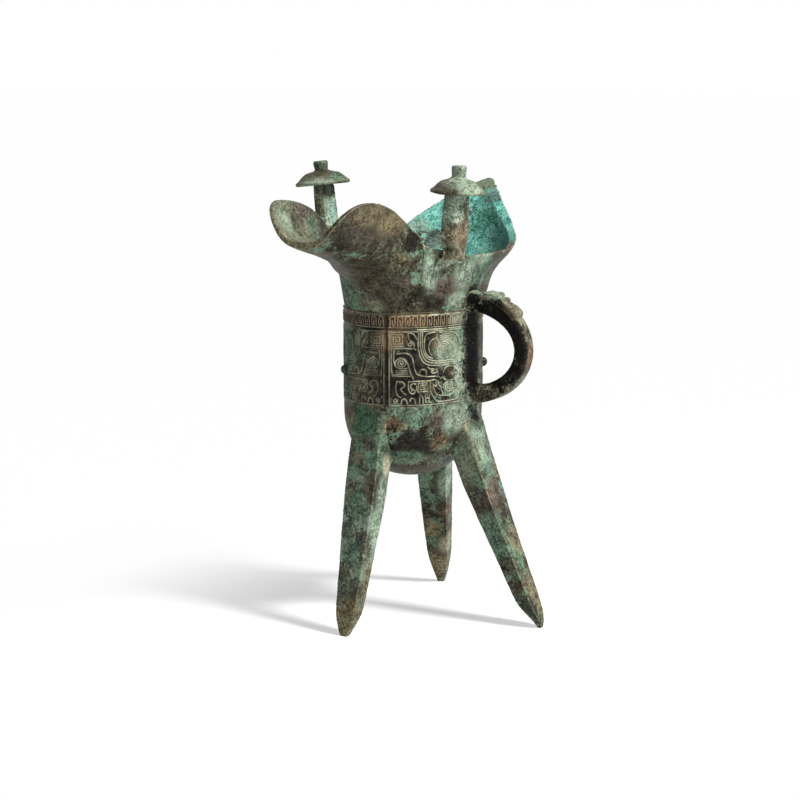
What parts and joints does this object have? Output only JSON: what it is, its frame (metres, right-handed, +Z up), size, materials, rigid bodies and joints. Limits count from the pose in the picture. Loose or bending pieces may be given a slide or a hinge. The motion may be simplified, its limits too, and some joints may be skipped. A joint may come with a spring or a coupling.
{
  "type": "bronze jue vessel",
  "caption": "Ancient cast bronze wine cup on blade legs, with a pouring spout, a pointed tail, a loop handle with an ox head and capped posts on the rim.",
  "frame": {"origin": "on the ground under the middle of the bounding box", "axes": "+Z up, spout towards -X, tail towards +X, handle towards -Y"},
  "size_m": [0.174, 0.1133, 0.2053],
  "materials": {
    "bronze": "corroded green and brown patina",
    "spacer_bronze": "dull brown patina"
  },
  "bodies": {
    "root": {"vessel_body": "bronze", "core_spacers": "spacer_bronze", "leg_handle_side": "bronze", "leg_spout_side": "bronze", "leg_tail_side": "bronze", "handle": "bronze", "ox_head": "bronze", "post_handle_side": "bronze", "post_far_side": "bronze", "cap_handle_side": "bronze", "cap_far_side": "bronze"}
  },
  "joints": []
}
